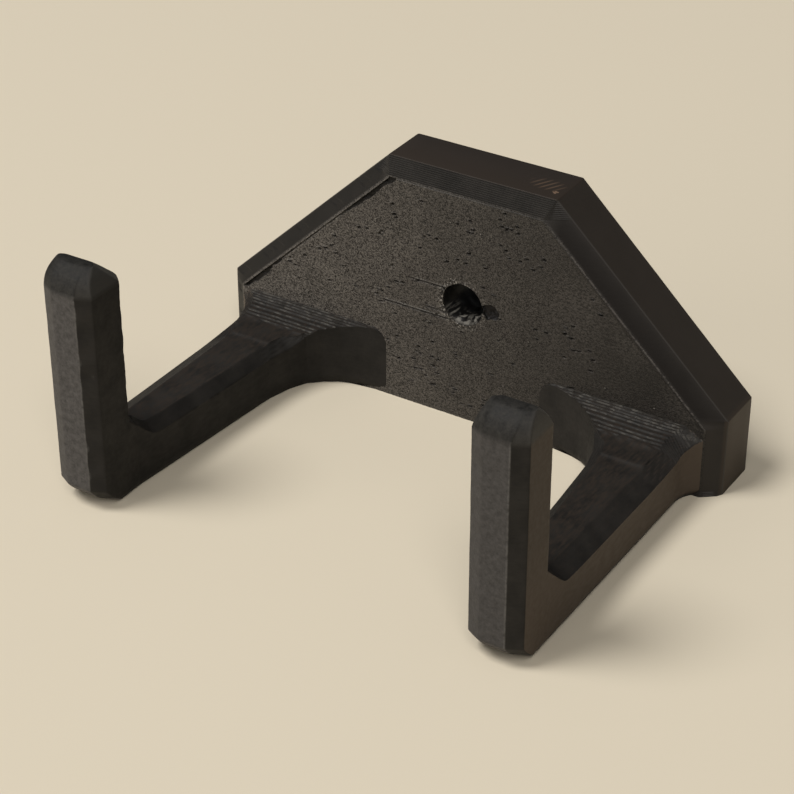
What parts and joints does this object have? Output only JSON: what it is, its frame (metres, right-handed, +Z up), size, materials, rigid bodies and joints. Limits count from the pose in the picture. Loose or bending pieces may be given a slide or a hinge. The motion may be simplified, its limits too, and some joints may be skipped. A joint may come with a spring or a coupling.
{
  "type": "headphone hook",
  "caption": "Wall-mounted headphone hook: a wedge-shaped plate with a screw hole carries two flat arms that end in upright tips.",
  "frame": {"origin": "on the underside, midway between the ends of the plate and midway between its back face and the fronts of the tips", "axes": "+X to the hook's right seen from the front, +Y towards the wall, +Z up"},
  "size_m": [0.072, 0.0502, 0.0337],
  "materials": {
    "plate_plastic": "black printed plastic with fine layer lines, grainy and pitted on the front face",
    "arm_plastic": "black printed plastic with fine layer lines, satin on the sides",
    "tip_plastic": "black printed plastic, rubbed greyer on the front faces"
  },
  "bodies": {
    "root": {"back_plate": "plate_plastic", "left_arm": "arm_plastic", "right_arm": "arm_plastic", "left_tip": "tip_plastic", "right_tip": "tip_plastic"}
  },
  "joints": []
}
